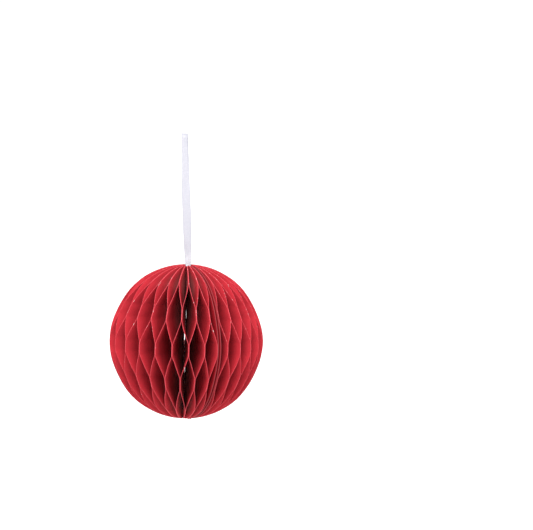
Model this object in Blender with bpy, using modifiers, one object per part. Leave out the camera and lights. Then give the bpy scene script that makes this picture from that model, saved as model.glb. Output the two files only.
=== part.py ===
"""A paper honeycomb ball that hangs on a ribbon.

Fifty-one paper leaves and two stiff end covers, each a half disc, stand round a hollow spine like
the pages of a book opened through a full turn. Neighbours are glued in level strips: at the A levels
(the middle and both poles) in one set of pairs, at the B levels in the other set, so every leaf
zigzags in height between two glue joints and the open faces show a honeycomb. A thread down the
spine binds the sheets near both poles. The two covers meet back to back at the seam, where disc
magnets hold them. Metres, +Z up. The spine stands on the Z axis, and the ball's lowest point is at
the origin.
"""

import math

import bmesh
import bpy
from mathutils import Matrix, Vector

# The ball
BALL_RADIUS = 0.040
LEAVES = 51
JOINTS = LEAVES + 1  # glue joints, counted from the left cover to the right one
SEAM_DIRECTION = math.radians(-64.8)  # from +X, seen from above: front right
SEAM_HALF_ANGLE = math.radians(0.4)
HOLE_RADIUS = 0.0042  # of the hollow spine, between the upper and lower B levels
POLE_HOLE_RADIUS = 0.0026  # above and below them, where the thread draws the sheets together
POLE_LAND = 0.0004  # width of a leaf's tip at each pole

# The leaves
PAPER = 0.00012
GLUE_GAP = 0.00012  # between glued leaves
LEVEL_PITCH = 0.443 * BALL_RADIUS  # from an A level to the next B level
STRIP_HEIGHT = 0.11 * BALL_RADIUS  # of one glue strip; over a pole, the glue carries on
BEND_SHARE = 0.15  # of the way between two strips that each bend of a leaf takes up
STEPS_BETWEEN_STRIPS = 3
POLE_STEPS = 4
FAR_SIDE_SPREAD = 0.161  # share by which cells grow wider away from the seam
FAR_SIDE_SHIFT = math.radians(5.5)  # how far round the leaves opposite the seam have slipped
PINCH = math.radians(1.7)  # how much the cells beside the seam are drawn together
SEAM_SLIP = math.radians(0.8)  # how far the covers have slipped round, past the leaves beside them
SEAM_REACH = 1.0  # of the pinch and the slip, in glue joints

# The end covers and their magnets
COVER_CARD = 0.0006
COVER_HOLE_RADIUS = 0.006
SEAM_GAP = 0.0003
COVER_STAND_OFF = (COVER_CARD + SEAM_GAP) / 2
LEAF_STAND_OFF = 0.0008  # of the leaves beside a cover, parallel to the seam's plane
STAND_OFF_REACH = 20  # in glue joints
MAGNET_RADIUS = 0.0025
MAGNET_THICKNESS = 0.0003
MAGNET_POCKET = 0.0004  # deep, in the face that meets the other cover
MAGNET_FIT = 0.0003  # round a magnet, in its pocket
MAGNET_REACH = 0.031  # from the spine
MAGNET_HEIGHTS = {"upper": 0.014, "lower": -0.014}

# The binding thread, the knot and the ribbon, with heights from the ball's centre
THREAD_RADIUS = 0.00025
THREAD_RING = 0.0021  # radius of the ring that the thread makes near each pole
THREAD_RING_TURN = math.radians(335)
THREAD_RING_POINTS = 16
THREAD_RINGS = {"upper": 0.0352, "lower": -0.0362}
PIVOT_HEIGHT = 0.0393  # where the ball swings and turns on the ribbon
KNOT_HEIGHT = 0.0384
KNOT_LOBE = 0.00042
KNOT_DEPTH = 0.0006
KNOT_STRAND = 0.00033
KNOT_POINTS = 36
RIBBON_THICKNESS = 0.00025
RIBBON_LOW = 0.0398
RIBBON_RISE = 0.0677  # from its low end to the top of the loop
RIBBON_LEAN = math.tan(math.radians(3.0))  # to the left, going up
RIBBON_WIDTH = 0.0042
RIBBON_WIDTH_AT_KNOT = 0.0027
RIBBON_WIDTH_AT_TOP = 0.0032
RIBBON_STEPS = 9
STRAND_GAP_AT_KNOT = 0.0006  # between the middles of the two strands
LOOP_BEND_RADIUS = 0.0025
LOOP_BULGE = 0.001
BEND_CORNERS = 4


def clear_scene():
    for obj in list(bpy.data.objects):
        bpy.data.objects.remove(obj, do_unlink=True)


def add_collection(name):
    collection = bpy.data.collections.new(name)
    bpy.context.scene.collection.children.link(collection)
    return collection


def add_material(name, colour, roughness, metallic=0.0):
    material = bpy.data.materials.new(name)
    material.use_nodes = True
    shader = material.node_tree.nodes["Principled BSDF"]
    shader.inputs["Base Color"].default_value = (*colour, 1.0)
    shader.inputs["Roughness"].default_value = roughness
    shader.inputs["Metallic"].default_value = metallic
    return material


def add_empty(collection, name, height, parent=None):
    """An empty on the Z axis. Its height is from its parent."""
    empty = bpy.data.objects.new(name, None)
    empty.empty_display_size = 0.01
    empty.location.z = height
    empty.parent = parent
    collection.objects.link(empty)
    return empty


def add_object(collection, name, data, material, parent):
    obj = bpy.data.objects.new(name, data)
    obj.data.materials.append(material)
    obj.parent = parent
    collection.objects.link(obj)
    return obj


def mesh_from(bm, name):
    mesh = bpy.data.meshes.new(name)
    bm.to_mesh(mesh)
    bm.free()
    return mesh


def smooth_round_faces(mesh):
    mesh.shade_smooth()
    mesh.set_sharp_from_angle(angle=math.radians(40))


def thicken(obj, thickness):
    solidify = obj.modifiers.new("Thickness", "SOLIDIFY")
    solidify.thickness = thickness
    solidify.offset = 0.0


def ease(share):
    return share * share * (3 - 2 * share)


def bend_and_climb(share):
    """From 0 to 1, straight but for a bend at each end."""
    if share > 0.5:
        return 1 - bend_and_climb(1 - share)
    if share > BEND_SHARE:
        return (share - BEND_SHARE / 2) / (1 - BEND_SHARE)
    return share**2 / (2 * BEND_SHARE * (1 - BEND_SHARE))


# Where each sheet stands round the spine


def fan_angle(joint):
    """The angle from the left cover, going round the fan, to a glue joint. A fraction is between two."""
    last = JOINTS - 1
    share = joint / last
    turn = 2 * math.pi
    spread = share - FAR_SIDE_SPREAD * math.sin(turn * share) / turn
    by_left, by_right = math.exp(-joint / SEAM_REACH), math.exp((joint - last) / SEAM_REACH)
    pinched = PINCH * (by_left - by_right - 1 + 2 * share)
    slipped = FAR_SIDE_SHIFT * math.sin(math.pi * share) ** 4 - SEAM_SLIP * (1 - by_left - by_right)
    return (turn - 2 * SEAM_HALF_ANGLE) * spread + pinched + slipped


def joint_direction(joint):
    return SEAM_DIRECTION - SEAM_HALF_ANGLE - fan_angle(joint)


def one_side_stand_off(joint):
    return LEAF_STAND_OFF * ease(max(0.0, 1 - joint / STAND_OFF_REACH))


def stand_off(joint):
    """How far a glue joint's plane stands off the spine's axis, away from the left cover. The covers'
    thickness pushes the leaves near them aside."""
    return one_side_stand_off(joint) - one_side_stand_off(JOINTS - 1 - joint)


def level_side(height):
    """1 on an A level's glue strip, -1 on a B level's, and a value on the way between strips."""
    level = min(2.0, abs(height) / LEVEL_PITCH)
    half_strip = STRIP_HEIGHT / 2 / LEVEL_PITCH
    number = math.floor(level)
    between = (level - number - half_strip) / (1 - 2 * half_strip)
    side = 1 - 2 * bend_and_climb(min(1.0, max(0.0, between)))
    return side if number % 2 == 0 else -side


def rim_radius(height):
    return math.sqrt(BALL_RADIUS**2 - height**2)


def row_heights():
    """The heights of the rows of points down a sheet: both edges of each glue strip, steps between
    strips, and steps of equal angle over each pole."""
    rows = []
    for level in (0, 1):
        strip_end = level * LEVEL_PITCH + STRIP_HEIGHT / 2
        climb = LEVEL_PITCH - STRIP_HEIGHT
        rows += [
            strip_end + climb * step / STEPS_BETWEEN_STRIPS
            for step in range(STEPS_BETWEEN_STRIPS + 1)
        ]
    from_pole = math.acos(rows[-1] / BALL_RADIUS)
    tip = math.asin((POLE_HOLE_RADIUS + POLE_LAND) / BALL_RADIUS)
    for step in range(1, POLE_STEPS + 1):
        angle = from_pole + (tip - from_pole) * step / POLE_STEPS
        rows.append(BALL_RADIUS * math.cos(angle))
    return [-row for row in reversed(rows)] + rows


def leaf_hole_radius(height):
    return HOLE_RADIUS if abs(height) < LEVEL_PITCH else POLE_HOLE_RADIUS


def sheet_mesh(name, hole_radius, place):
    """A half disc, one strip of faces from pole to pole. hole_radius(height) gives its inner edge's
    distance from the spine's axis, and place(height, radius) gives a point."""
    rows = row_heights()
    bm = bmesh.new()
    bmesh.ops.create_grid(bm, x_segments=1, y_segments=len(rows) - 1, size=1)
    for vert in bm.verts:
        height = rows[round((vert.co.y + 1) / 2 * (len(rows) - 1))]
        inner = hole_radius(height)
        outer = max(rim_radius(height), inner + POLE_LAND)
        vert.co = place(height, outer if vert.co.x > 0 else inner)
    bmesh.ops.triangulate(bm, faces=bm.faces, quad_method="FIXED")
    return mesh_from(bm, name)


def add_leaf(collection, material, spine, number):
    """A leaf between glue joints number - 1 and number. Its object turns about the spine, and its +X
    points along the leaf's middle plane."""
    name = f"leaf_{number:02d}"
    middle = number - 0.5
    home = joint_direction(middle)
    a_side = 1 if number % 2 == 0 else -1
    apart = (PAPER + GLUE_GAP) / 2

    def place(height, radius):
        lean = a_side * level_side(height) / 2
        joint = middle + lean
        turn = joint_direction(joint) - home
        aside = stand_off(joint) - 2 * lean * apart
        return Matrix.Rotation(turn, 3, "Z") @ Vector((radius, -aside, height))

    mesh = sheet_mesh(name, leaf_hole_radius, place)
    leaf = add_object(collection, name, mesh, material, spine)
    leaf.rotation_euler.z = home
    thicken(leaf, PAPER)


def add_cover(collection, cutters, materials, spine, side):
    """A flat card cover with two magnets let into the face that meets the other cover. side is
    "left" or "right" of the seam."""
    name = f"end_cover_{side}"
    joint, across = (0, -1) if side == "left" else (JOINTS - 1, 1)

    def place(height, radius):
        return Vector((radius, across * COVER_STAND_OFF, height))

    mesh = sheet_mesh(name, lambda height: COVER_HOLE_RADIUS, place)
    cover = add_object(collection, name, mesh, materials["card"], spine)
    cover.rotation_euler.z = joint_direction(joint)
    thicken(cover, COVER_CARD)
    face = across * SEAM_GAP / 2
    pocket_middle = face + across * MAGNET_POCKET / 2
    for level, height in MAGNET_HEIGHTS.items():
        magnet = disc_mesh(f"{name}_magnet_{level}", MAGNET_RADIUS, MAGNET_THICKNESS)
        magnet_object = add_object(collection, magnet.name, magnet, materials["steel"], cover)
        magnet_object.location = (MAGNET_REACH, pocket_middle, height)
        pocket = disc_mesh(f"{name}_pocket_{level}", MAGNET_RADIUS + MAGNET_FIT, 2 * MAGNET_POCKET)
        cutter = add_object(cutters, pocket.name, pocket, materials["steel"], cover)
        cutter.location = (MAGNET_REACH, face, height)
        cutter.hide_render = True
        cutter.display_type = "WIRE"
        cut = cover.modifiers.new(f"Pocket {level}", "BOOLEAN")
        cut.object = cutter


def disc_mesh(name, radius, thickness):
    """A disc whose flat faces look along Y."""
    bm = bmesh.new()
    bmesh.ops.create_cone(
        bm,
        cap_ends=True,
        segments=20,
        radius1=radius,
        radius2=radius,
        depth=thickness,
        matrix=Matrix.Rotation(math.pi / 2, 4, "X"),
    )
    mesh = mesh_from(bm, name)
    smooth_round_faces(mesh)
    return mesh


def tube(name, points, thickness, cyclic=False):
    """A round tube through points, each with its own share of the thickness."""
    curve = bpy.data.curves.new(name, "CURVE")
    curve.dimensions = "3D"
    curve.bevel_depth = thickness
    curve.bevel_resolution = 2
    curve.use_fill_caps = not cyclic
    spline = curve.splines.new("POLY")
    spline.points.add(len(points) - 1)
    spline.use_cyclic_u = cyclic
    for target, (place, share) in zip(spline.points, points):
        target.co = (*place, 1.0)
        target.radius = share
    return curve


def add_thread(collection, material, spine):
    """The binding thread, just inside the leaves' backs: round the spine near the upper pole,
    straight down one side, and round again near the lower pole."""
    points = []
    for height in THREAD_RINGS.values():
        for number in range(THREAD_RING_POINTS):
            turn = THREAD_RING_TURN * number / (THREAD_RING_POINTS - 1)
            around = Vector((math.cos(turn), math.sin(turn), 0))
            points.append((THREAD_RING * around + Vector((0, 0, height)), 1.0))
    upper = points[:THREAD_RING_POINTS]
    curve = tube("binding_thread", upper[::-1] + points[THREAD_RING_POINTS:], THREAD_RADIUS)
    add_object(collection, "binding_thread", curve, material, spine)


def add_knot(collection, material, knot):
    """The overhand knot in the ribbon's ends, as a trefoil. It hangs just under the pivot."""
    points = []
    for number in range(KNOT_POINTS):
        turn = 2 * math.pi * number / KNOT_POINTS
        across = math.sin(turn) + 2 * math.sin(2 * turn)
        deep = math.cos(turn) - 2 * math.cos(2 * turn)
        up = -KNOT_DEPTH / KNOT_LOBE * math.sin(3 * turn)
        points.append((KNOT_LOBE * Vector((across, deep, up)), 1.0))
    curve = tube("ribbon_knot", points, KNOT_STRAND, cyclic=True)
    obj = add_object(collection, "ribbon_knot", curve, material, knot)
    obj.location.z = KNOT_HEIGHT - PIVOT_HEIGHT


def ribbon_path():
    """(height above the ribbon's low end, half the gap between the strands, width) along the front
    strand, over the bend and down the back, where the half gap is negative."""
    bend_height = RIBBON_RISE - LOOP_BEND_RADIUS
    strand = []
    for step in range(RIBBON_STEPS + 1):
        share = step / RIBBON_STEPS
        half_gap = STRAND_GAP_AT_KNOT / 2 * (1 - share) + LOOP_BEND_RADIUS * share
        half_gap += LOOP_BULGE * math.sin(math.pi * share)
        gathered = RIBBON_WIDTH_AT_KNOT + (RIBBON_WIDTH - RIBBON_WIDTH_AT_KNOT) * ease(
            min(1.0, share * 3)
        )
        narrowed = (RIBBON_WIDTH - RIBBON_WIDTH_AT_TOP) * ease(max(0.0, share * 3 - 2))
        strand.append((bend_height * share, half_gap, gathered - narrowed))
    bend = []
    for corner in range(BEND_CORNERS):
        angle = math.pi * (corner + 0.5) / BEND_CORNERS
        height = bend_height + LOOP_BEND_RADIUS * math.sin(angle)
        bend.append((height, LOOP_BEND_RADIUS * math.cos(angle), RIBBON_WIDTH_AT_TOP))
    back = [(height, -half_gap, width) for height, half_gap, width in reversed(strand)]
    return strand + bend + back


def add_ribbon(collection, material, ribbon):
    """One ribbon, up in front, over and down behind, leaning to the left."""
    path = ribbon_path()
    bm = bmesh.new()
    bmesh.ops.create_grid(bm, x_segments=1, y_segments=len(path) - 1, size=1)
    for vert in bm.verts:
        height, half_gap, width = path[round((vert.co.y + 1) / 2 * (len(path) - 1))]
        across = width / 2 * (1 if vert.co.x > 0 else -1) - height * RIBBON_LEAN
        vert.co = Vector((across, -half_gap, height))
    mesh = mesh_from(bm, "hanging_ribbon")
    obj = add_object(collection, "hanging_ribbon", mesh, material, ribbon)
    thicken(obj, RIBBON_THICKNESS)


def build():
    clear_scene()
    parts = add_collection("paper_honeycomb_ball")
    cutters = add_collection("cutters")
    paper = add_material("red_paper", (0.46, 0.025, 0.035), 0.85)
    satin = add_material("white_satin", (0.85, 0.84, 0.88), 0.45)
    thread = add_material("binding_thread", (0.6, 0.05, 0.06), 0.7)
    materials = {
        "card": add_material("red_card", (0.38, 0.04, 0.045), 0.8),
        "steel": add_material("plated_steel", (0.6, 0.6, 0.62), 0.3, metallic=1.0),
    }
    ribbon = add_empty(parts, "ribbon_low_end", BALL_RADIUS + RIBBON_LOW)
    knot = add_empty(parts, "knot_pivot", PIVOT_HEIGHT - RIBBON_LOW, ribbon)
    spine = add_empty(parts, "spine_axis", -PIVOT_HEIGHT, knot)
    add_ribbon(parts, satin, ribbon)
    add_knot(parts, satin, knot)
    add_thread(parts, thread, spine)
    for side in ("left", "right"):
        add_cover(parts, cutters, materials, spine, side)
    for number in range(1, LEAVES + 1):
        add_leaf(parts, paper, spine, number)


build()
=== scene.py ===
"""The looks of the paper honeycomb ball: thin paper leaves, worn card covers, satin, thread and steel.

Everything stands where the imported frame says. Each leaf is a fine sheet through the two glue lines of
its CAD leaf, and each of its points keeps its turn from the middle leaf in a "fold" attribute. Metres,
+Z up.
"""

import itertools
import math

import bmesh
import bpy
from mathutils import Matrix, Vector, noise


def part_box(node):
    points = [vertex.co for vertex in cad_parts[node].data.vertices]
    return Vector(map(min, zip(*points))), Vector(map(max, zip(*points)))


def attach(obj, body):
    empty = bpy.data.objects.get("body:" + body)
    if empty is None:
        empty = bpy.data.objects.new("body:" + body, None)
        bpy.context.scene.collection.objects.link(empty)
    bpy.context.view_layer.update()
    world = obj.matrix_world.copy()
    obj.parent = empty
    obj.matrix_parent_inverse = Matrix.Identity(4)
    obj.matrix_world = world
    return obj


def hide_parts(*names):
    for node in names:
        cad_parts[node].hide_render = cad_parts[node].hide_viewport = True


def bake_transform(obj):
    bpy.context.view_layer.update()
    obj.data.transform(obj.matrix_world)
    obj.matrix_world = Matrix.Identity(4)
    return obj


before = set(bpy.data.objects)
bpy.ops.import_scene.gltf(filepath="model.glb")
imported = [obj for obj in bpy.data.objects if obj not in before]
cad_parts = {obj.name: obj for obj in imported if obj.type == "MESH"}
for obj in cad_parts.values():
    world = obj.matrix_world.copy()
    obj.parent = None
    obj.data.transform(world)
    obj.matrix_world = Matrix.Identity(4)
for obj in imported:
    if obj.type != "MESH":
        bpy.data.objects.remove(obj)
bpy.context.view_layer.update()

# Read from the frame
LEAVES = sum(name.startswith("leaf_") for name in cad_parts)
LEAF_LOW, LEAF_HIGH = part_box("leaf_26")
BALL_RADIUS = (LEAF_HIGH.z - LEAF_LOW.z) / 2
CENTRE_HEIGHT = (LEAF_HIGH.z + LEAF_LOW.z) / 2
CENTRE = Vector((0, 0, CENTRE_HEIGHT))
MIDDLE_LEAF = (LEAVES + 1) // 2  # the others' turns are measured from this leaf's

# The leaves
PAPER = 0.00017
THINNEST_SHARE = 0.4  # of the paper's thickness, where the leaves crowd round the spine
FULL_THICKNESS_RADIUS = 0.007
LEVEL_PITCH = 0.443 * BALL_RADIUS  # from an A glue level to the next B level
STRIP_HEIGHT = 0.11 * BALL_RADIUS
BEND_SHARE = 0.15
BEND_STEPS = 4
STRAIGHT_STEPS = 4
STRIP_STEPS = 4
POLE_STEPS = 9
COLUMNS = 9
SPINE_HOLE = 0.0042
BOUND_HOLE = 0.0026  # beyond the B levels, where the thread draws the sheets together
BOUND_FROM = 0.0135  # height at which the hole begins to narrow
BOUND_BY = 0.0205
TIP_HOLE = 0.0014  # round the ribbon, at the poles
TIP_RADIUS = 0.0032  # where a leaf's edge begins to dip into that hole
TIP_DIP = 0.0012
FRONT_DIP = 0.0012  # more, where the ribbon presses on the leaves in front of it
FRONT_DIP_RADIUS = 0.0055
FRONT_DIP_TURN = math.radians(38)  # to each side
POCKET_TOP = BALL_RADIUS - 0.0022  # above this height the hole narrows
RIM_PULL = 0.02  # share of the radius by which the rim draws in at the B levels
RIM_UNEVEN = 0.00012
RIM_UNEVEN_SCALE = 90
WAVE = 0.00035
WAVE_SCALE = 70.0
LEAF_SEED_STEP = 7.3  # from one leaf's place in the noise to the next one's
SHEET_STEP = 0.1  # the same, in the materials
GLUE_BAND = 0.55  # of a glue strip, up and down: where the plane of a CAD sheet is measured
PRESSED_FROM = 0.75  # of the radius: the ribbon presses the leaves down above this height

# The covers and their magnets
COVER_CARD = 0.00045
COVER_SHIFT = 0.000075  # away from the seam, so that the face towards the leaves lies as in the CAD
COVER_HOLE = 0.006
COVER_BEVEL = 0.00007
COVER_SHEET = 0.5  # the covers' place in the materials' noise
MAGNET_FIT = 0.0003
MAGNET_POCKET = 0.00025
MAGNET_BEVEL = 0.25  # of its thickness
ROUND_SEGMENTS = 48

# The binding thread and the knot
THREAD_RADIUS = 0.00025
THREAD_RING_TURN = math.radians(280)  # it stops short of the seam
THREAD_RING_POINTS = 90
THREAD_RUN_POINTS = 240
THREAD_PLIES = 2
THREAD_PLY_RADIUS = 0.55 * THREAD_RADIUS
THREAD_TWIST = 0.0022  # length of one full turn of the plies
KNOT_POINTS = 120
KNOT_STRAND = 0.00032

# The ribbon
RIBBON_THICKNESS = 0.00014
RIBBON_WIDTH = 0.0043
RIBBON_WIDTH_AT_KNOT = 0.0027
RIBBON_TUCK = 0.001  # of the ribbon goes down into the knot, below its CAD low end
RIBBON_WIDTH_AT_TOP = 0.0031
RIBBON_SPREAD_BY = 0.4  # of the rise, where the ribbon has its full width
RIBBON_NARROWS_FROM = 0.45
RIBBON_ROWS = 90
RIBBON_COLUMNS = 12
RIBBON_BEND_RADIUS = 0.0024
BEND_ROWS = 16
RIBBON_TOP_BAND = 0.0002  # of the CAD ribbon's points, whose middle is the top of the loop
HALF_GAP_AT_KNOT = 0.0003  # half the distance between the two strands
BELLY = 0.0009  # more, half way up
CREASE = 0.00054  # along the middle, near the top
CREASE_POWER = 1.3
PLEAT = 0.000132  # near the knot
PLEATS = 1.25  # waves from the ribbon's middle to its edge
FLUTTER = 0.0004
FLUTTER_SCALE = 55
WANDER = 0.0002  # to the side
WANDER_SCALE = 40
WEAVE_PITCH = 0.00032
LONG_THREADS = 60.0
PAINTED_KNOT_LIGHT_HEIGHT = 0.009  # above the knot, up to where the satin is painted paler, as painted light against the ball's shade
CREST_FROM = 0.0655  # above the knot, where the ribbon begins to go over; above it the satin is painted darker, as painted shade
CREST_FADE = 0.002

# The camera and the stage
LENS = 200.0
SENSOR = 36.0
ELEVATION = math.radians(7.2)
ROLL = math.radians(1.64)
BALL_SHARE = 0.2896  # the ball's diameter, as a share of the picture's width
BALL_LEFT = 0.1512  # of the picture's middle, as a share of its width
BALL_BELOW = 0.1426
FLOOR_DROP = 0.16
FLOOR_RADIUS = 8.0
FLOOR_BOUNCE = (0.76, 0.76, 0.76)  # the floor's colour in the light that it throws up at the ball
SKY_MIDDLE = (0, -0.45, 1)  # the direction in which the studio is brightest
SKY_DARKEST = 0.27
SKY_BRIGHTEST = 1.78
SKY_SEEN = 1.05  # by the camera
KEY_PLACE = (-0.15, -0.9, 1.15)
KEY_SIZE = 0.9
KEY_WATTS = 18.6

SMOOTH_BELOW = math.radians(40)


def ease(share):
    share = min(1.0, max(0.0, share))
    return share * share * (3 - 2 * share)


def mix(a, b, share):
    return a + (b - a) * share


# Materials


class Graph:
    """A material's or the world's nodes. Each call adds one node and returns its output."""

    def __init__(self, tree):
        self.tree = tree

    def add(self, kind, inputs=None, output=0, **settings):
        made = self.tree.nodes.new(kind)
        for name, value in settings.items():
            setattr(made, name, value)
        for key, value in (inputs or {}).items():
            if isinstance(value, bpy.types.NodeSocket):
                self.tree.links.new(value, made.inputs[key])
            else:
                made.inputs[key].default_value = value
        return made.outputs[output]

    def math(self, operation, a, b=0.0, clamp=False):
        return self.add("ShaderNodeMath", {0: a, 1: b}, operation=operation, use_clamp=clamp)

    def noise(self, vector, scale, detail=2.0, roughness=0.5):
        inputs = {"Vector": vector, "Scale": scale, "Detail": detail, "Roughness": roughness}
        return self.add("ShaderNodeTexNoise", inputs)

    def between(self, value, low, high, out_low=0.0, out_high=1.0):
        inputs = {"Value": value, 1: low, 2: high, 3: out_low, 4: out_high}
        return self.add("ShaderNodeMapRange", inputs, interpolation_type="SMOOTHSTEP")

    def colour(self, share, a, b):
        """Colour a at share 0 and b at share 1. Each is a socket or three numbers."""
        ends = [(*end, 1.0) if isinstance(end, tuple) else end for end in (a, b)]
        inputs = {0: share, 6: ends[0], 7: ends[1]}
        return self.add("ShaderNodeMix", inputs, output=2, data_type="RGBA")

    def stretched(self, vector, scale):
        return self.add("ShaderNodeMapping", {"Vector": vector, "Scale": scale})

    def axes(self, vector):
        """The vector's three parts."""
        made = self.tree.nodes.new("ShaderNodeSeparateXYZ")
        self.tree.links.new(vector, made.inputs[0])
        return made.outputs

    def bump(self, height, strength, distance):
        inputs = {"Height": height, "Strength": strength, "Distance": distance}
        return self.add("ShaderNodeBump", inputs)


def new_material(name):
    material = bpy.data.materials.new(name)
    material.use_nodes = True
    shader = material.node_tree.nodes["Principled BSDF"]
    return material, Graph(material.node_tree), shader


def connect(graph, shader, **inputs):
    """Sets the shader's inputs, named with _ for a space."""
    for name, value in inputs.items():
        socket = shader.inputs[name.replace("_", " ")]
        if isinstance(value, bpy.types.NodeSocket):
            graph.tree.links.new(value, socket)
        else:
            socket.default_value = value


def sheet_place(graph):
    """(radius, height, sheet number) on a paper sheet, which stays with the paper as it folds."""
    return graph.add("ShaderNodeAttribute", output=1, attribute_name="sheet")


def paper_material():
    """Dyed red paper with a faint fibre. Its colour is painted paler towards the rim, as painted light
    where the open rim catches it, and greyer towards the spine, as a painted glare deep in the cells."""
    material, graph, shader = new_material("red_paper")
    place = sheet_place(graph)
    flat = graph.stretched(place, (1.0, 1.0, 0.0))
    from_centre = graph.add("ShaderNodeVectorMath", {0: flat}, output=1, operation="LENGTH")
    clouds = graph.noise(place, 160.0, detail=3.0)
    fibres = graph.noise(graph.stretched(place, (1.0, 2.6, 1.0)), 2600.0, detail=4.0, roughness=0.6)
    outer = graph.colour(graph.between(clouds, 0.3, 0.7), (0.27, 0.007, 0.014), (0.32, 0.01, 0.018))
    # Painted glare: the paper is painted greyer and paler near the spine, to lift the shaded deep
    # cells.
    painted_glare_share = graph.between(graph.axes(place)[0], 0.008, 0.026, 1.0, 0.0)
    deep = graph.colour(painted_glare_share, outer, (0.46, 0.13, 0.13))
    # Painted light: the paper is painted paler towards the rim, where the open rim catches the light.
    painted_rim_light = (0.45, 0.019, 0.031)
    painted_rim_light_share = graph.between(from_centre, 0.82 * BALL_RADIUS, BALL_RADIUS)
    dyed_with_painted_shading = graph.colour(painted_rim_light_share, deep, painted_rim_light)
    fibre_share = graph.between(fibres, 0.35, 0.75, 0.0, 0.2)
    fibrous = graph.colour(fibre_share, dyed_with_painted_shading, (0.46, 0.026, 0.037))
    connect(
        graph,
        shader,
        Base_Color=fibrous,
        Roughness=graph.between(fibres, 0.2, 0.8, 0.74, 0.92),
        Specular_IOR_Level=0.22,
        Normal=graph.bump(fibres, 0.25, 0.00004),
    )
    return material


def paper_edge_material():
    """The cut edge of the paper: paler than its face, with white nicks, most of them in the upper
    half, where the ball is held to open it."""
    material, graph, shader = new_material("red_paper_cut_edge")
    place = sheet_place(graph)
    speckle = graph.noise(place, 900.0, detail=4.0, roughness=0.7)
    wear = graph.noise(place, 330.0, detail=5.0, roughness=0.75)
    handled = graph.between(graph.axes(place)[1], 0.002, 0.012, 0.0, 0.035)
    nicks = graph.math("ADD", wear, handled)
    edge = graph.colour(graph.between(speckle, 0.3, 0.7), (0.5, 0.03, 0.045), (0.66, 0.09, 0.11))
    nicked = graph.colour(graph.between(nicks, 0.62, 0.68), edge, (0.8, 0.55, 0.55))
    connect(graph, shader, Base_Color=nicked, Roughness=0.9, Specular_IOR_Level=0.2)
    return material


def card_material():
    """The covers' red card, its red darkened in part as painted shade for the narrow gap between the
    covers.
    """
    material, graph, shader = new_material("red_card")
    place = sheet_place(graph)
    clouds = graph.noise(place, 120.0, detail=4.0)
    grain = graph.noise(place, 1800.0, detail=3.0, roughness=0.6)
    # Partly painted shade: the card's red is darker so that the gap between the covers looks shaded.
    dyed_with_painted_shading = graph.colour(graph.between(clouds, 0.3, 0.7), (0.24, 0.006, 0.011), (0.3, 0.009, 0.016))
    connect(
        graph,
        shader,
        Base_Color=graph.colour(graph.between(grain, 0.5, 0.9, 0.0, 0.2), dyed_with_painted_shading, (0.5, 0.06, 0.07)),
        Roughness=graph.between(grain, 0.2, 0.8, 0.6, 0.8),
        Specular_IOR_Level=0.15,
        Normal=graph.bump(grain, 0.3, 0.00005),
    )
    return material


def card_edge_material():
    """The covers' cut edge: the dye stops at the surface, and the grey core shows in patches."""
    material, graph, shader = new_material("card_cut_edge")
    place = sheet_place(graph)
    patches = graph.noise(place, 420.0, detail=5.0, roughness=0.7)
    layers = graph.noise(graph.stretched(place, (1.0, 1.0, 30.0)), 900.0, detail=2.0)
    core = graph.colour(layers, (0.2, 0.12, 0.12), (0.42, 0.32, 0.32))
    worn = graph.colour(graph.between(patches, 0.56, 0.66), (0.2, 0.025, 0.03), core)
    connect(graph, shader, Base_Color=worn, Roughness=0.9, Specular_IOR_Level=0.2)
    return material


def thread_material():
    """Red cotton thread, fuzzy and a little uneven in its dye."""
    material, graph, shader = new_material("red_thread")
    place = graph.add("ShaderNodeTexCoord", output=3)
    fuzz = graph.noise(place, 4000.0, detail=4.0, roughness=0.7)
    connect(
        graph,
        shader,
        Base_Color=graph.colour(fuzz, (0.3, 0.01, 0.015), (0.6, 0.05, 0.06)),
        Roughness=0.9,
        Sheen_Weight=0.4,
        Normal=graph.bump(fuzz, 0.5, 0.00003),
    )
    return material


def steel_material():
    """Nickel-plated steel with fine turning marks."""
    material, graph, shader = new_material("plated_steel")
    place = graph.add("ShaderNodeTexCoord", output=3)
    scuffs = graph.noise(place, 1500.0, detail=4.0, roughness=0.7)
    connect(
        graph,
        shader,
        Base_Color=graph.colour(scuffs, (0.5, 0.49, 0.47), (0.66, 0.65, 0.63)),
        Metallic=1.0,
        Roughness=graph.between(scuffs, 0.3, 0.7, 0.22, 0.4),
        Normal=graph.bump(scuffs, 0.12, 0.00003),
    )
    return material


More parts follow.
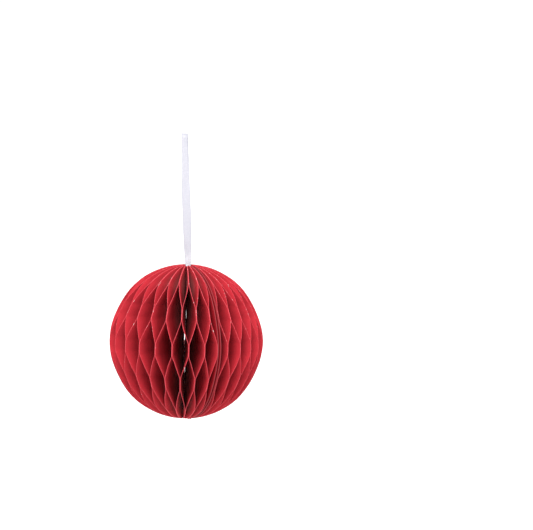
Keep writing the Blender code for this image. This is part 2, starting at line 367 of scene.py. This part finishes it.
def satin_material():
    """White satin ribbon: fine cross threads, a firmer edge on each side, and a soft sheen. Its
    "weave" attribute holds (place across, length along, height above the knot)."""
    material, graph, shader = new_material("white_satin")
    place = graph.add("ShaderNodeAttribute", output=1, attribute_name="weave")
    across, along, height = graph.axes(place)
    turns = graph.math("MULTIPLY", along, 2 * math.pi / WEAVE_PITCH)
    cross_threads = graph.math("SINE", turns)
    long_threads = graph.math("SINE", graph.math("MULTIPLY", across, LONG_THREADS))
    slubs = graph.noise(graph.stretched(place, (0.4, 260.0, 1.0)), 6.0, detail=4.0)
    threads = graph.math("ADD", cross_threads, graph.math("MULTIPLY", long_threads, 0.4))
    relief = graph.math("ADD", threads, graph.math("MULTIPLY", slubs, 2.5))
    edge = graph.between(graph.math("ABSOLUTE", across), 0.84, 0.96)
    body = graph.colour(graph.between(slubs, 0.3, 0.7), (0.385, 0.385, 0.43), (0.425, 0.42, 0.46))
    # Painted light: the satin is painted paler near the knot, where the ball shades it.
    painted_knot_light_share = graph.between(height, 0.0, PAINTED_KNOT_LIGHT_HEIGHT, 1.0, 0.0)
    satin_with_knot_light = graph.colour(painted_knot_light_share, body, (0.55, 0.57, 0.61))
    # Painted shade: the satin is painted darker where it goes over the top of the loop.
    painted_crest_shade = graph.between(height, CREST_FROM, CREST_FROM + CREST_FADE)
    satin = graph.colour(painted_crest_shade, satin_with_knot_light, (0.3, 0.3, 0.34))
    connect(
        graph,
        shader,
        Base_Color=graph.colour(edge, satin, (0.3, 0.3, 0.35)),
        Roughness=graph.between(relief, -1.0, 3.0, 0.48, 0.34),
        Sheen_Weight=0.1,
        Sheen_Roughness=0.35,
        Subsurface_Weight=0.25,
        Subsurface_Radius=(0.001, 0.001, 0.001),
        Normal=graph.bump(relief, 0.35, 0.00002),
    )
    return material


def make_materials():
    return {
        "paper": paper_material(),
        "paper_edge": paper_edge_material(),
        "card": card_material(),
        "card_edge": card_edge_material(),
        "thread": thread_material(),
        "magnet": steel_material(),
        "ribbon": satin_material(),
    }


# Mesh helpers


def mesh_object(bm, name, *materials):
    mesh = bpy.data.meshes.new(name)
    bm.to_mesh(mesh)
    bm.free()
    obj = bpy.data.objects.new(name, mesh)
    bpy.context.scene.collection.objects.link(obj)
    for material in materials:
        mesh.materials.append(material)
    return obj


def finish_mesh(obj):
    """Applies the object's modifiers and shades it smooth but for its sharp edges."""
    bpy.context.view_layer.update()
    graph = bpy.context.evaluated_depsgraph_get()
    done = bpy.data.meshes.new_from_object(obj.evaluated_get(graph))
    rough = obj.data
    obj.modifiers.clear()
    obj.data = done
    bpy.data.meshes.remove(rough)
    done.name = obj.name
    done.shade_smooth()
    done.set_sharp_from_angle(angle=SMOOTH_BELOW)


def thicken(obj, thickness, thin_group=None, rim_material=0):
    solidify = obj.modifiers.new("Thickness", "SOLIDIFY")
    solidify.thickness = thickness
    solidify.offset = 0.0
    solidify.material_offset_rim = rim_material
    if thin_group:
        solidify.vertex_group = thin_group


def grid(columns, rows, place):
    """A grid of faces. place(column, row) gives a point for each of its corners."""
    bm = bmesh.new()
    bmesh.ops.create_grid(bm, x_segments=columns, y_segments=rows, size=1)
    corners = [
        (vert, round((vert.co.x + 1) / 2 * columns), round((vert.co.y + 1) / 2 * rows))
        for vert in bm.verts
    ]
    for vert, column, row in corners:
        vert.co = place(column, row)
    return bm, [(column, row) for _, column, row in corners]


def write_attribute(mesh, name, kind, values):
    attribute = mesh.attributes.new(name, kind, "POINT")
    field = "vector" if kind == "FLOAT_VECTOR" else "value"
    flat = [number for value in values for number in value] if field == "vector" else values
    attribute.data.foreach_set(field, flat)


# The leaves


def bend_and_climb(share):
    """From 0 to 1, straight but for a bend at each end."""
    if share > 0.5:
        return 1 - bend_and_climb(1 - share)
    if share > BEND_SHARE:
        return (share - BEND_SHARE / 2) / (1 - BEND_SHARE)
    return share**2 / (2 * BEND_SHARE * (1 - BEND_SHARE))


def level_side(height):
    """1 on an A level's glue strip, -1 on a B level's, and a value on the way between strips."""
    level = min(2.0, abs(height) / LEVEL_PITCH)
    half_strip = STRIP_HEIGHT / 2 / LEVEL_PITCH
    number = math.floor(level)
    between = (level - number - half_strip) / (1 - 2 * half_strip)
    side = 1 - 2 * bend_and_climb(min(1.0, max(0.0, between)))
    return side if number % 2 == 0 else -side


def rim_radius(height):
    level = min(2.0, abs(height) / LEVEL_PITCH)
    pulled = RIM_PULL * math.sin(math.pi * level / 2) ** 2
    return math.sqrt(BALL_RADIUS**2 - height**2) * (1 - pulled)


def row_heights():
    """Heights from the ball's centre of the rows of points on a sheet, from pole to pole: close
    together in the bends, and by equal angles over the poles."""
    bend = [BEND_SHARE * step / BEND_STEPS for step in range(BEND_STEPS)]
    straight = [
        BEND_SHARE + (1 - 2 * BEND_SHARE) * step / STRAIGHT_STEPS
        for step in range(STRAIGHT_STEPS + 1)
    ]
    shares = bend + straight + [1 - share for share in reversed(bend)]
    rows = [0.0, STRIP_HEIGHT / 4]
    for level in (0, 1):
        strip_end = level * LEVEL_PITCH + STRIP_HEIGHT / 2
        climb = LEVEL_PITCH - STRIP_HEIGHT
        if level:
            start = strip_end - STRIP_HEIGHT
            rows += [start + STRIP_HEIGHT * step / STRIP_STEPS for step in range(1, STRIP_STEPS)]
        rows += [strip_end + climb * share for share in shares]
    from_pole = math.acos(rows[-1] / BALL_RADIUS)
    tip = math.asin(TIP_RADIUS / BALL_RADIUS)
    for step in range(1, POLE_STEPS + 1):
        angle = mix(from_pole, tip, step / POLE_STEPS)
        rows.append(BALL_RADIUS * math.cos(angle))
    return [-row for row in reversed(rows[1:])] + rows


ROWS = row_heights()


def inner_height(height):
    """The height of a row's inner end. Rows near a pole dip towards the hole."""
    dip = ease((abs(height) - (POCKET_TOP - TIP_DIP)) / (ROWS[-1] - POCKET_TOP + TIP_DIP))
    return math.copysign(abs(height) - TIP_DIP * dip, height)


def inner_radius(height):
    bound = ease((abs(height) - BOUND_FROM) / (BOUND_BY - BOUND_FROM))
    narrow = ease((abs(height) - POCKET_TOP) / (BALL_RADIUS - TIP_DIP - POCKET_TOP))
    return mix(mix(SPINE_HOLE, BOUND_HOLE, bound), TIP_HOLE, narrow)


def pressed_down(radius, height, direction):
    """How far the ribbon has pressed a leaf's point down, close to the upper pole."""
    from_front = abs(near(direction + math.pi / 2, 0.0))
    front = ease(1 - from_front / FRONT_DIP_TURN)
    close = ease(1 - radius / FRONT_DIP_RADIUS)
    high = ease((height / BALL_RADIUS - PRESSED_FROM) / (1 - PRESSED_FROM))
    return FRONT_DIP * front * close * high


class Plane:
    """The upright plane in which a CAD sheet lies, or lies along one of its glue levels: its
    direction round the spine and how far it stands off the spine's axis."""

    def __init__(self, mesh, low=-BALL_RADIUS, high=BALL_RADIUS):
        points = [
            Vector(vert.co.xy)
            for vert in mesh.vertices
            if low < vert.co.z - CENTRE_HEIGHT < high
        ]
        middle = sum(points, Vector((0, 0))) / len(points)
        from_middle = [point - middle for point in points]
        spread = sum(offset.x**2 - offset.y**2 for offset in from_middle)
        slant = sum(2 * offset.x * offset.y for offset in from_middle)
        angle = math.atan2(slant, spread) / 2
        along = Vector((math.cos(angle), math.sin(angle)))
        if along.dot(middle) < 0:
            along.negate()
        self.direction = math.atan2(along.y, along.x)
        self.aside = middle.x * along.y - middle.y * along.x


def glue_line(mesh, level):
    reach = GLUE_BAND * STRIP_HEIGHT
    return Plane(mesh, level * LEVEL_PITCH - reach, level * LEVEL_PITCH + reach)


def near(angle, other):
    """angle, plus or minus whole turns, so that it is within half a turn of other."""
    return angle - 2 * math.pi * round((angle - other) / (2 * math.pi))


def read_glue_lines():
    """{leaf number: (A glue line, B glue line)}, with directions unwound from the middle leaf's."""
    lines = {}
    for number in range(1, LEAVES + 1):
        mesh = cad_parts[f"leaf_{number:02d}"].data
        lines[number] = (glue_line(mesh, 0), glue_line(mesh, 1))
    home = lines[MIDDLE_LEAF][0].direction
    for step in (1, -1):
        last = home
        number = MIDDLE_LEAF
        while number in lines:
            for line in lines[number]:
                line.direction = near(line.direction, last)
            last = lines[number][0].direction
            number += step
    return lines


def add_leaf(number, lines, home, materials):
    """One leaf, whose every point keeps its own angle from the middle leaf in its "fold" attribute."""
    name = f"leaf_{number:02d}"
    a_line, b_line = lines[number]
    seed = Vector((0, 0, LEAF_SEED_STEP * number))
    reach = [
        rim_radius(height)
        + RIM_UNEVEN * noise.noise(Vector((height * RIM_UNEVEN_SCALE, 0, 0)) + seed)
        for height in ROWS
    ]
    a_shares = [(1 + level_side(height)) / 2 for height in ROWS]
    turns = [mix(b_line.direction, a_line.direction, share) for share in a_shares]
    asides = [mix(b_line.aside, a_line.aside, share) for share in a_shares]

    def flat(column, row):
        """(radius, height) on the sheet laid flat."""
        share = column / COLUMNS
        low = inner_height(ROWS[row])
        height = mix(low, ROWS[row], ease(share * 2)) if share < 0.5 else ROWS[row]
        return mix(inner_radius(low), reach[row], share), height

    def place(column, row):
        radius, height = flat(column, row)
        free = 4 * a_shares[row] * (1 - a_shares[row])
        wave = noise.noise(Vector((radius, height, 0)) * WAVE_SCALE + seed)
        aside = asides[row] + WAVE * wave * free * radius / BALL_RADIUS
        height -= pressed_down(radius, height, turns[row])
        turned = Matrix.Rotation(turns[row], 3, "Z") @ Vector((radius, -aside, height))
        return turned + CENTRE

    bm, corners = grid(COLUMNS, len(ROWS) - 1, place)
    leaf = mesh_object(bm, name + "_paper", materials["paper"], materials["paper_edge"])
    places = [flat(*corner) for corner in corners]
    sheet = [(radius, height, SHEET_STEP * number) for radius, height in places]
    write_attribute(leaf.data, "sheet", "FLOAT_VECTOR", sheet)
    write_attribute(leaf.data, "fold", "FLOAT", [turns[row] - home for _, row in corners])
    thin = leaf.vertex_groups.new(name="thickness")
    for index, (radius, _) in enumerate(places):
        share = mix(THINNEST_SHARE, 1, ease(radius / FULL_THICKNESS_RADIUS))
        thin.add([index], share, "REPLACE")
    thicken(leaf, PAPER, thin_group=thin.name, rim_material=1)
    finish_mesh(leaf)
    fold_leaf(leaf)
    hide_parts(name)


def leaf_turn(lines, number, home):
    return sum(line.direction for line in lines[number]) / 2 - home


def fold_leaf(leaf):
    """Bakes the leaf's transform into its mesh and reads its points' "fold" values."""
    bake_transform(leaf)
    folds = [0.0] * len(leaf.data.vertices)
    leaf.data.attributes["fold"].data.foreach_get("value", folds)


# The covers and their magnets


def add_disc(name, radius, thickness, where, axis, bevel, *materials):
    """A disc with rounded corners and its flat faces along axis."""
    bm = bmesh.new()
    bmesh.ops.create_cone(
        bm,
        cap_ends=True,
        segments=ROUND_SEGMENTS,
        radius1=radius,
        radius2=radius,
        depth=thickness,
    )
    obj = mesh_object(bm, name, *materials)
    obj.data.transform(axis.to_track_quat("Z", "Y").to_matrix().to_4x4())
    obj.data.transform(Matrix.Translation(where))
    if bevel:
        corners = obj.modifiers.new("Corners", "BEVEL")
        corners.width = bevel
        corners.segments = 3
        corners.limit_method = "ANGLE"
    return obj


def add_cover(side, materials):
    """A card cover in its CAD cover's plane, with two magnets let into it."""
    name = f"end_cover_{side}"
    plane = Plane(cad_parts[name].data)
    plane.aside += math.copysign(COVER_SHIFT, plane.aside)
    turn = Matrix.Rotation(plane.direction, 3, "Z")

    def flat(column, row):
        radius = max(rim_radius(ROWS[row]), COVER_HOLE + COVER_CARD)
        return mix(COVER_HOLE, radius, column / COLUMNS), ROWS[row]

    def place(column, row):
        radius, height = flat(column, row)
        return turn @ Vector((radius, -plane.aside, height)) + CENTRE

    bm, corners = grid(COLUMNS, len(ROWS) - 1, place)
    cover = mesh_object(bm, name + "_card", materials["card"], materials["card_edge"])
    places = [(*flat(*corner), COVER_SHEET) for corner in corners]
    write_attribute(cover.data, "sheet", "FLOAT_VECTOR", places)
    thicken(cover, COVER_CARD, rim_material=1)
    normal = turn @ Vector((0, math.copysign(1, plane.aside), 0))  # towards the other cover
    face = turn @ Vector((0, -plane.aside, 0)) + normal * COVER_CARD / 2
    pockets = []
    for level in ("upper", "lower"):
        node = f"{name}_magnet_{level}"
        pockets.append(add_magnet(cover, node, face, normal, materials))
    bevel = cover.modifiers.new("Corners", "BEVEL")
    bevel.width = COVER_BEVEL
    bevel.segments = 2
    bevel.limit_method = "ANGLE"
    finish_mesh(cover)
    for pocket in pockets:
        bpy.data.objects.remove(pocket)
    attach(cover, f"cover_{side}")
    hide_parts(name)


def add_magnet(cover, node, face, normal, materials):
    """A magnet in the place of its CAD disc. face is a point on the cover's outer face. Returns the
    cutter of the magnet's pocket in the cover."""
    low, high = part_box(node)
    middle = (low + high) / 2
    radius = (high.z - low.z) / 2
    points = [vert.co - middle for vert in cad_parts[node].data.vertices]
    thickness = 2 * max(point.dot(normal) for point in points)
    bevel = MAGNET_BEVEL * thickness
    magnet = add_disc(
        f"{node}_disc", radius, thickness, middle, normal, bevel, materials["magnet"]
    )
    finish_mesh(magnet)
    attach(magnet, f"cover_{'left' if 'left' in node else 'right'}")
    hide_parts(node)
    mouth = middle + normal * (face - middle).dot(normal)
    width, depth = radius + MAGNET_FIT, 2 * MAGNET_POCKET
    pocket = add_disc(f"{node}_pocket", width, depth, mouth, normal, 0, materials["card"])
    pocket.hide_render = True
    cut = cover.modifiers.new("Pocket", "BOOLEAN")
    cut.object = pocket
    return pocket


# The binding thread, the knot and the ribbon


def curve_mesh(name, strands, thickness, cyclic, material):
    """A mesh of round strands, each through its own list of points."""
    curve = bpy.data.curves.new(name, "CURVE")
    curve.dimensions = "3D"
    curve.bevel_depth = thickness
    curve.bevel_resolution = 4
    curve.use_fill_caps = not cyclic
    for points in strands:
        spline = curve.splines.new("POLY")
        spline.points.add(len(points) - 1)
        spline.use_cyclic_u = cyclic
        for target, place in zip(spline.points, points):
            target.co = (*place, 1.0)
    guide = bpy.data.objects.new(name, curve)
    bpy.context.scene.collection.objects.link(guide)
    bpy.context.view_layer.update()
    graph = bpy.context.evaluated_depsgraph_get()
    mesh = bpy.data.meshes.new_from_object(guide.evaluated_get(graph))
    bpy.data.objects.remove(guide)
    bpy.data.curves.remove(curve)
    mesh.materials.clear()
    mesh.materials.append(material)
    mesh.shade_smooth()
    obj = bpy.data.objects.new(name, mesh)
    bpy.context.scene.collection.objects.link(obj)
    return obj


def thread_path():
    """The thread's middle line: round the spine near the upper pole, down one side of it, and round
    again near the lower pole."""
    low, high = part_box("binding_thread")
    ring = (high.x - low.x) / 2 - THREAD_RADIUS
    top, bottom = high.z - THREAD_RADIUS, low.z + THREAD_RADIUS

    def ringed(height):
        turns = [THREAD_RING_TURN * n / THREAD_RING_POINTS for n in range(THREAD_RING_POINTS)]
        return [Vector((ring * math.cos(t), ring * math.sin(t), height)) for t in turns]

    run = [
        Vector((ring, 0, mix(top, bottom, number / THREAD_RUN_POINTS)))
        for number in range(1, THREAD_RUN_POINTS)
    ]
    return ringed(top)[::-1] + run + ringed(bottom)


def thread_plies(path):
    """The middle lines of the plies, which wind round each other along the path."""
    lengths = [0.0]
    for start, end in zip(path, path[1:]):
        lengths.append(lengths[-1] + (end - start).length)
    plies = []
    for ply in range(THREAD_PLIES):
        points = []
        for number, point in enumerate(path):
            along = path[min(number + 1, len(path) - 1)] - path[max(number - 1, 0)]
            across = along.cross(Vector((point.x, point.y, 0))).normalized()
            up = across.cross(along).normalized()
            turn = 2 * math.pi * (lengths[number] / THREAD_TWIST + ply / THREAD_PLIES)
            offset = across * math.cos(turn) + up * math.sin(turn)
            points.append(point + offset * THREAD_RADIUS / 2)
        plies.append(points)
    return plies


def turn_from(home, point):
    """How far round the spine a point is from the middle leaf's direction, home."""
    return near(math.atan2(point.y, point.x), home) - home


def add_thread(materials, lines, home):
    """The binding thread, of two plies twisted together, made in two halves, one for the leaves on each
    side of the middle leaf."""
    path = thread_path()
    plies = thread_plies(path)
    turns = [turn_from(home, point) for point in path]
    for side, end_leaf in (("left", 1), ("right", LEAVES)):
        cover = Plane(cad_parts[f"end_cover_{side}"].data)
        whole_turn = near(cover.direction, lines[end_leaf][0].direction) - home
        strands = []
        for positive, group in itertools.groupby(range(len(path)), lambda n: turns[n] > 0):
            numbers = list(group)
            if positive == (whole_turn > 0):
                strands += [ply[numbers[0] : numbers[-1] + 2] for ply in plies]
        add_thread_half(side, strands, whole_turn, home, materials)


def add_thread_half(side, strands, whole_turn, home, materials):
    thread = curve_mesh(
        f"binding_thread_{side}", strands, THREAD_PLY_RADIUS, False, materials["thread"]
    )
    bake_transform(thread)
    shares = [
        max(0.0, turn_from(home, vert.co) / whole_turn) for vert in thread.data.vertices
    ]
    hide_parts("binding_thread")


def add_knot(materials):
    """The ribbon's overhand knot, pulled tight."""
    low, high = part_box("ribbon_knot")
    middle = (low + high) / 2
    lobe = ((high.x - low.x) / 2 - KNOT_STRAND) / 3
    depth = (high.z - low.z) / 2 - KNOT_STRAND
    points = []
    for number in range(KNOT_POINTS):
        turn = 2 * math.pi * number / KNOT_POINTS
        across = lobe * (math.sin(turn) + 2 * math.sin(2 * turn))
        deep = lobe * (math.cos(turn) - 2 * math.cos(2 * turn))
        points.append(middle + Vector((across, deep, -depth * math.sin(3 * turn))))
    knot = curve_mesh("ribbon_knot_satin", [points], KNOT_STRAND, True, materials["ribbon"])
    # A height of 0 gives the whole knot the satin's painted light near the knot.
    weave = [(0.3 * math.sin(vert.index), vert.co.z, 0) for vert in knot.data.vertices]
    write_attribute(knot.data, "weave", "FLOAT_VECTOR", weave)
    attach(knot, "knot")
    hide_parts("ribbon_knot")


def ribbon_path(low, high):
    """[(height, half the gap between the strands, width, crease, pleats)] from the knot up the
    front strand, over the bend and down the back, where the half gap is negative."""
    bend_height = high - RIBBON_BEND_RADIUS
    strand = []
    for row in range(RIBBON_ROWS + 1):
        share = row / RIBBON_ROWS
        belly = BELLY * math.sin(math.pi * share)
        half_gap = mix(HALF_GAP_AT_KNOT, RIBBON_BEND_RADIUS, share) + belly
        spread = 1 - max(0.0, 1 - share / RIBBON_SPREAD_BY) ** 2
        top = ease((share - RIBBON_NARROWS_FROM) / (1 - RIBBON_NARROWS_FROM))
        width = mix(RIBBON_WIDTH_AT_KNOT, RIBBON_WIDTH, spread)
        width = mix(width, RIBBON_WIDTH_AT_TOP, top)
        strand.append((mix(low, bend_height, share), half_gap, width, top, 1 - spread))
    bend = []
    for row in range(1, BEND_ROWS):
        angle = math.pi * row / BEND_ROWS
        height = bend_height + RIBBON_BEND_RADIUS * math.sin(angle)
        half_gap = RIBBON_BEND_RADIUS * math.cos(angle)
        bend.append((height, half_gap, RIBBON_WIDTH_AT_TOP, 1.0, 0.0))
    back = [(height, -gap, width, top, pleat) for height, gap, width, top, pleat in reversed(strand)]
    return strand + bend + back


def add_ribbon(materials):
    """One satin ribbon, up in front, over and down behind."""
    low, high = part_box("hanging_ribbon")
    path = ribbon_path(low.z - RIBBON_TUCK, high.z - RIBBON_THICKNESS / 2)
    top = [
        vert.co.x
        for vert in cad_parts["hanging_ribbon"].data.vertices
        if vert.co.z > high.z - RIBBON_TOP_BAND
    ]
    lean = sum(top) / len(top) / (high.z - low.z)
    lengths = [0.0]
    for (z0, y0, *_), (z1, y1, *_) in zip(path, path[1:]):
        lengths.append(lengths[-1] + math.hypot(z1 - z0, y1 - y0))

    def place(column, row):
        height, half_gap, width, crease, pleats = path[row]
        share = 2 * column / RIBBON_COLUMNS - 1
        rise = height - low.z
        out = math.copysign(1.0, half_gap)
        fold = crease * CREASE * (1 - abs(share) ** CREASE_POWER)
        fold += pleats * PLEAT * math.cos(2 * math.pi * PLEATS * share)
        flutter = noise.noise(Vector((share * 0.6, rise * FLUTTER_SCALE, 3.0 * out)))
        wander = noise.noise(Vector((rise * WANDER_SCALE, 0, out)))
        across = share * width / 2 + lean * rise + WANDER * wander
        return Vector((across, -half_gap - out * fold - FLUTTER * flutter, height))

    bm, corners = grid(RIBBON_COLUMNS, len(path) - 1, place)
    ribbon = mesh_object(bm, "hanging_ribbon_satin", materials["ribbon"])
    weave = [
        (2 * column / RIBBON_COLUMNS - 1, lengths[row], path[row][0] - low.z)
        for column, row in corners
    ]
    write_attribute(ribbon.data, "weave", "FLOAT_VECTOR", weave)
    thicken(ribbon, RIBBON_THICKNESS)
    finish_mesh(ribbon)
    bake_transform(ribbon)
    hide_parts("hanging_ribbon")


# The stage


def add_floor():
    bm = bmesh.new()
    bmesh.ops.create_circle(bm, cap_ends=True, segments=64, radius=FLOOR_RADIUS)
    material, graph, shader = new_material("pale_floor")
    place = graph.add("ShaderNodeTexCoord", output=3)
    tone = graph.noise(place, 3.0, detail=2.0)
    pale = graph.colour(tone, (0.93, 0.93, 0.93), (0.95, 0.95, 0.95))
    seen = graph.add("ShaderNodeLightPath")
    connect(
        graph,
        shader,
        Base_Color=graph.colour(seen, FLOOR_BOUNCE, pale),
        Roughness=0.95,
        Specular_IOR_Level=0.1,
    )
    floor = mesh_object(bm, "floor", material)
    floor.location.z = -FLOOR_DROP


def light_world():
    """A white studio: brightest above and in front, and plain white to the camera."""
    world = bpy.data.worlds.new("studio")
    world.use_nodes = True
    bpy.context.scene.world = world
    graph = Graph(world.node_tree)
    background = world.node_tree.nodes["Background"]
    direction = graph.add("ShaderNodeTexCoord")
    middle = tuple(Vector(SKY_MIDDLE).normalized())
    facing = graph.add(
        "ShaderNodeVectorMath", {0: direction, 1: middle}, output=1, operation="DOT_PRODUCT"
    )
    light = graph.between(facing, -0.7, 0.9, SKY_DARKEST, SKY_BRIGHTEST)
    seen = graph.add("ShaderNodeLightPath")
    strength = graph.add("ShaderNodeMix", {0: seen, 2: light, 3: SKY_SEEN}, data_type="FLOAT")
    world.node_tree.links.new(strength, background.inputs["Strength"])
    background.inputs["Color"].default_value = (1, 1, 1, 1)


def add_light(name, where, size, watts):
    data = bpy.data.lights.new(name, "AREA")
    data.shape = "DISK"
    data.size = size
    data.energy = watts
    light = bpy.data.objects.new(name, data)
    light.location = where
    light.rotation_euler = (CENTRE - Vector(where)).to_track_quat("-Z", "Y").to_euler()
    bpy.context.scene.collection.objects.link(light)


def add_camera():
    """Looks at the ball from its front, a little above, turned so that the ball stands to the left
    of and below the picture's middle, as it hangs in the photograph."""
    data = bpy.data.cameras.new("camera")
    data.lens = LENS
    data.sensor_width = SENSOR
    camera = bpy.data.objects.new("camera", data)
    bpy.context.scene.collection.objects.link(camera)
    picture_width = 2 * BALL_RADIUS / BALL_SHARE
    distance = picture_width * LENS / SENSOR
    back = Vector((0, -math.cos(ELEVATION), math.sin(ELEVATION)))
    camera.location = CENTRE + back * distance
    upright = (-back).to_track_quat("-Z", "Y").to_matrix()
    rolled = upright @ Matrix.Rotation(ROLL, 3, "Z")
    aside = rolled @ Vector((BALL_LEFT, BALL_BELOW, 0)) * picture_width
    aimed = (CENTRE + aside - camera.location).to_track_quat("-Z", "Y").to_matrix()
    camera.rotation_euler = (aimed @ Matrix.Rotation(ROLL, 3, "Z")).to_euler()
    bpy.context.scene.camera = camera


def build_ball():
    materials = make_materials()
    lines = read_glue_lines()
    home = leaf_turn(lines, MIDDLE_LEAF, 0.0)
    for number in range(1, LEAVES + 1):
        add_leaf(number, lines, home, materials)
    for side in ("left", "right"):
        add_cover(side, materials)
    add_thread(materials, lines, home)
    add_knot(materials)
    add_ribbon(materials)


build_ball()
add_floor()
light_world()
add_light("key", KEY_PLACE, KEY_SIZE, KEY_WATTS)
add_camera()
bpy.context.scene.view_settings.view_transform = "Standard"
